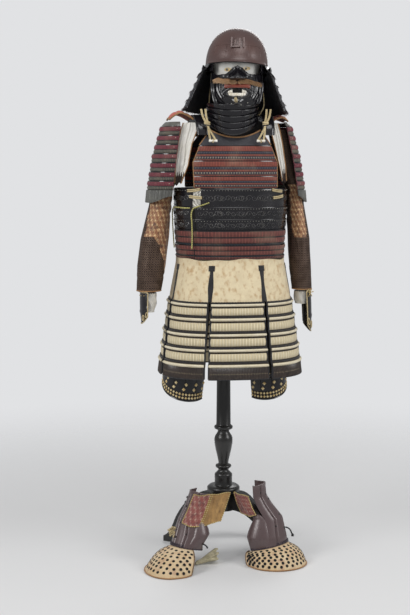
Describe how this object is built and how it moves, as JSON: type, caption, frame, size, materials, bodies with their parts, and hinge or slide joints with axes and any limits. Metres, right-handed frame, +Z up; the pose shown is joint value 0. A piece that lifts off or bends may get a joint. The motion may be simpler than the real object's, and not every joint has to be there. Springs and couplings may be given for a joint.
{
  "type": "samurai armour on a turned display stand",
  "caption": "Full laced samurai armour with helmet, mask, cuirass, skirt, sleeves, shin and foot guards, hung hollow on a turned wooden stand with a smooth head.",
  "frame": {"origin": "on the floor under the middle of the armour's box", "axes": "+Z up the stand, -Y the way the armour faces, +X towards the wearer's left"},
  "size_m": [0.595, 0.4472, 1.7976],
  "materials": {
    "russet_iron": "smooth russet-lacquered iron, satin",
    "black_lacquer": "black urushi lacquer, glossy",
    "mauve_iron": "mauve-brown lacquered iron, satin",
    "black_lacing": "near-black silk lacing over lacquered lames",
    "red_lacing": "brick-red silk lacing in close vertical cords",
    "crimson_lacing": "crimson silk lacing with green-grey rows",
    "cream_lacing": "cream silk lacing over black lames",
    "cream_leather": "smoked cream leather, mottled",
    "cream_cord": "braided cream silk cord",
    "green_cord": "twisted yellow-green silk cord",
    "mail_brocade": "orange-brown brocade under dark mail",
    "red_brocade": "worn red brocade with gold edging",
    "red_cloth": "padded red-orange cloth with cord edging",
    "white_cloth": "plain white cloth with tan piping",
    "bristle": "tan bristles",
    "black_wood": "turned wood, black paint, semi-gloss",
    "pale_head": "smooth off-white painted head form"
  },
  "bodies": {
    "root": {"stand_column": "black_wood", "stand_leg_right": "black_wood", "stand_leg_left": "black_wood", "stand_leg_back_right": "black_wood", "stand_leg_back_left": "black_wood", "stand_yoke": "black_wood", "stand_head": "pale_head", "helmet_bowl": "russet_iron", "brow_plate": "russet_iron", "crest_holder": "russet_iron", "chin_cord": "cream_cord", "face_mask": "black_lacquer", "moustache": "bristle", "throat_guard": "black_lacquer", "chest_lames": "red_lacing", "back_lames": "red_lacing", "breast_plate": "black_lacquer", "back_plate": "black_lacquer", "waist_lames": "red_lacing", "shoulder_strap_right": "black_lacquer", "shoulder_strap_left": "black_lacquer", "toggle_cord_right": "cream_cord", "toggle_cord_left": "cream_cord", "side_cord_front": "green_cord", "side_cord_back": "green_cord", "leather_skirt": "cream_leather", "floor_tie": "cream_cord", "neck_guard_1": "black_lacing", "neck_guard_2": "black_lacing", "neck_guard_3": "black_lacing", "neck_guard_4": "black_lacing", "neck_guard_5": "black_lacing", "belly_lame_1": "black_lacquer", "belly_lame_2": "black_lacquer", "belly_lame_3": "black_lacquer", "tasset_front": "cream_lacing", "tasset_front_left": "cream_lacing", "tasset_side_left": "cream_lacing", "tasset_back_left": "cream_lacing", "tasset_back_right": "cream_lacing", "tasset_side_right": "cream_lacing", "tasset_front_right": "cream_lacing", "thigh_guard_right": "black_lacquer", "shoulder_guard_right": "crimson_lacing", "shoulder_wing_right": "red_cloth", "sleeve_right": "mail_brocade", "hand_guard_right": "black_lacquer", "armpit_cloth_right": "white_cloth", "shin_guard_right": "mauve_iron", "knee_cloth_right": "red_brocade", "foot_guard_right": "cream_leather", "thigh_guard_left": "black_lacquer", "shoulder_guard_left": "crimson_lacing", "shoulder_wing_left": "red_cloth", "sleeve_left": "mail_brocade", "hand_guard_left": "black_lacquer", "armpit_cloth_left": "white_cloth", "shin_guard_left": "mauve_iron", "knee_cloth_left": "red_brocade", "foot_guard_left": "cream_leather"}
  },
  "joints": []
}
